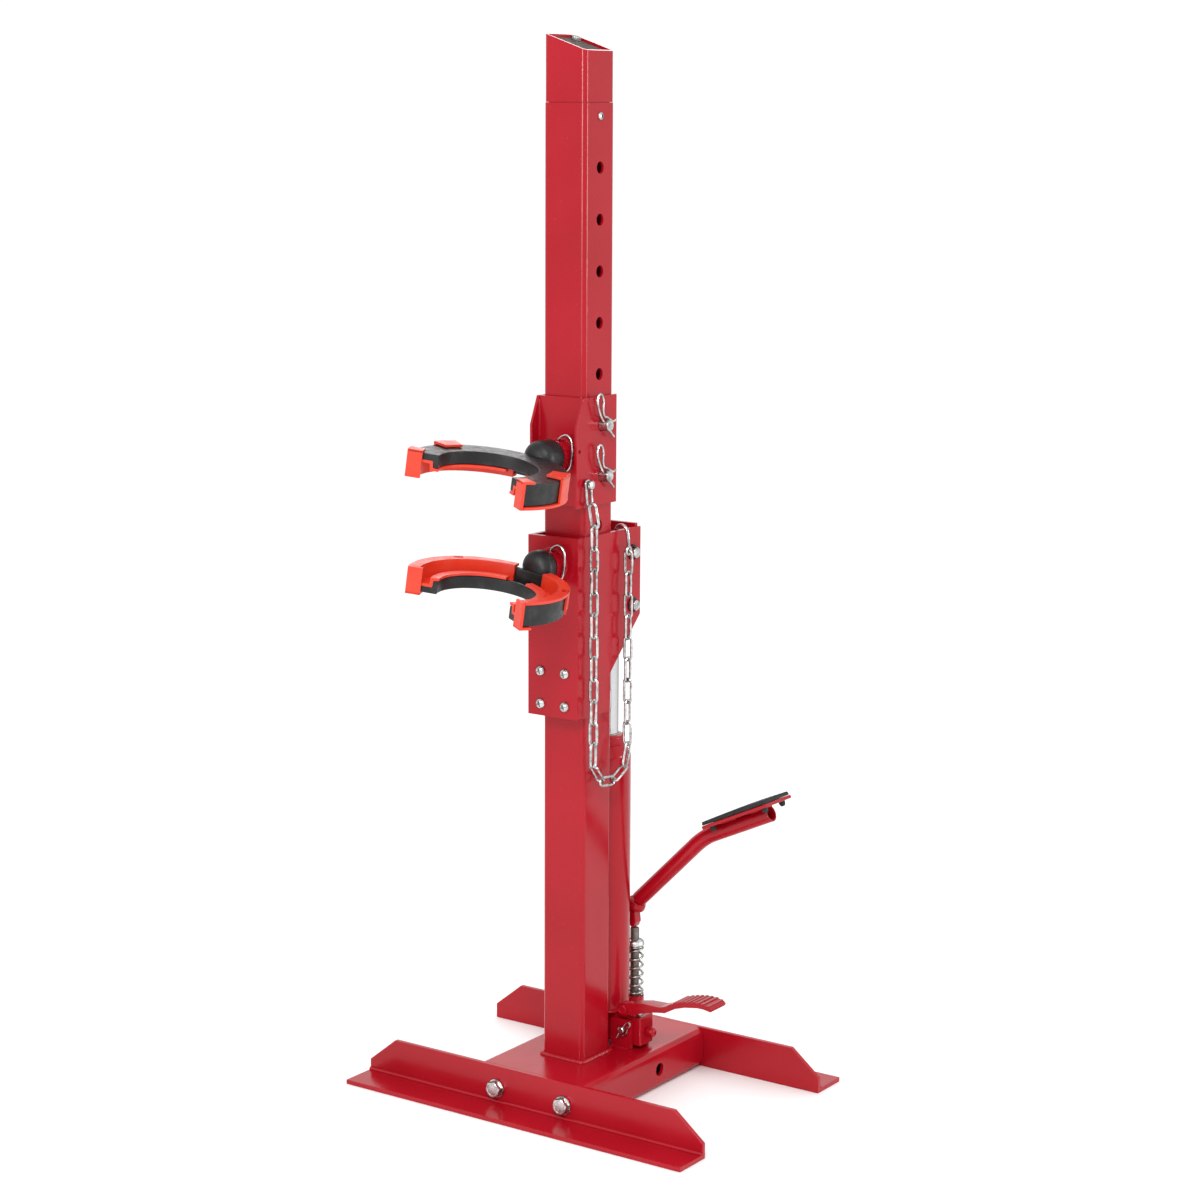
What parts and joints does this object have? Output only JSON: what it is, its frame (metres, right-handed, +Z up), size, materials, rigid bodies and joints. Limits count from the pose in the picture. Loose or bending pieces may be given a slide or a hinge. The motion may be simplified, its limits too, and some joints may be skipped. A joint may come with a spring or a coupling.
{
  "type": "coil spring compressor",
  "caption": "Floor-standing hydraulic coil spring compressor: square column, tilting yokes, sliding carriage on a ram, pump pedal, release pedal and safety chain.",
  "frame": {"origin": "on the floor under the axis of the column", "axes": "+Z up along the column, +Y from the yokes towards the ram, +X towards the side that the pedals reach out to"},
  "size_m": [0.447, 0.3963, 1.157],
  "materials": {
    "red_paint": "glossy deep red paint",
    "black_cast": "black coated casting",
    "orange_plastic": "orange-red moulded plastic, satin",
    "zinc": "bright zinc plated",
    "chrome": "satin hard chrome",
    "dark_steel": "dark oiled steel",
    "rubber": "black ribbed rubber",
    "nylon": "grey nylon"
  },
  "bodies": {
    "stand": {"base_beam": "red_paint", "front_foot": "red_paint", "rear_foot": "red_paint", "front_bolt_left": "zinc", "front_bolt_right": "zinc", "rear_bolt_left": "zinc", "rear_bolt_right": "zinc", "column": "red_paint", "column_cap": "red_paint", "cap_plate": "dark_steel", "cap_bolt": "zinc", "cap_screw_left": "zinc", "cap_screw_right": "zinc", "upper_bracket": "red_paint", "bracket_pin_top": "zinc", "bracket_pin_bottom": "zinc", "bracket_clip_top": "zinc", "bracket_clip_bottom": "zinc", "chain_bolt": "zinc", "chain_upper": "zinc", "ram_cylinder": "red_paint", "ram_gland": "red_paint", "ram_base": "red_paint", "clevis_pin": "zinc", "clevis_clip": "zinc", "release_valve_plug": "red_paint", "pump_pivot_pin": "zinc", "release_pivot_bolt": "red_paint"},
    "upper_yoke": {"upper_yoke": "black_cast", "upper_liner_left": "orange_plastic", "upper_liner_right": "orange_plastic", "upper_yoke_clip": "zinc"},
    "carriage": {"carriage": "red_paint", "front_wear_pad": "nylon", "rear_wear_pad": "nylon", "wear_pad_screw_top_left": "zinc", "wear_pad_screw_top_right": "zinc", "wear_pad_screw_bottom_left": "zinc", "wear_pad_screw_bottom_right": "zinc", "lift_block": "dark_steel", "cross_pin_top": "zinc", "cross_pin_bottom": "zinc", "cross_pin_clip_top": "dark_steel", "cross_pin_clip_bottom": "dark_steel", "ram_rod": "chrome", "chain_lower": "zinc", "chain_hook": "zinc"},
    "lower_yoke": {"lower_yoke": "black_cast", "lower_liner_left": "orange_plastic", "lower_liner_right": "orange_plastic", "lower_yoke_clip": "zinc"},
    "pump_pedal": {"pump_lever": "red_paint", "pedal_tube": "red_paint", "pedal_pad": "rubber"},
    "pump_plunger": {"pump_plunger": "chrome", "spring_cap": "zinc", "pump_spring": "zinc"},
    "release_pedal": {"release_pedal": "red_paint"},
    "release_valve": {"release_valve_pin": "zinc"}
  },
  "joints": [
    {"name": "upper_yoke_tilt", "type": "hinge", "parent": "stand", "child": "upper_yoke", "pos_m": [0, -0.046, 0.718], "axis": [0, 1, 0], "range_deg": [-23, 5]},
    {"name": "carriage_lift", "type": "slide", "parent": "stand", "child": "carriage", "axis": [0, 0, 1], "range_m": [-0.13, 0.03]},
    {"name": "lower_yoke_tilt", "type": "hinge", "parent": "carriage", "child": "lower_yoke", "pos_m": [0, -0.046, 0.602], "axis": [0, 1, 0], "range_deg": [-23, 5]},
    {"name": "pump_pedal_press", "type": "hinge", "parent": "stand", "child": "pump_pedal", "pos_m": [0.0077, 0.0926, 0.175], "axis": [0, 1, 0], "range_deg": [0, 36], "stiffness_Nm_per_rad": 3, "springref_deg": -28.65},
    {"name": "plunger_stroke", "type": "slide", "parent": "stand", "child": "pump_plunger", "axis": [0, 0, -1], "range_m": [0, 0.005], "deforming": ["pump_spring"]},
    {"name": "release_press", "type": "hinge", "parent": "stand", "child": "release_pedal", "pos_m": [0.0388, 0.0405, 0.0935], "axis": [0, 1, 0], "range_deg": [0, 10], "stiffness_Nm_per_rad": 1.5, "springref_deg": -14.32},
    {"name": "release_valve_travel", "type": "slide", "parent": "stand", "child": "release_valve", "axis": [0, 0, -1], "range_m": [0, 0.0025]}
  ],
  "couplings": [
    {"joint": "plunger_stroke", "follows": "pump_pedal_press", "m_per_rad": 0.0076},
    {"joint": "release_valve_travel", "follows": "release_press", "m_per_rad": 0.012}
  ]
}
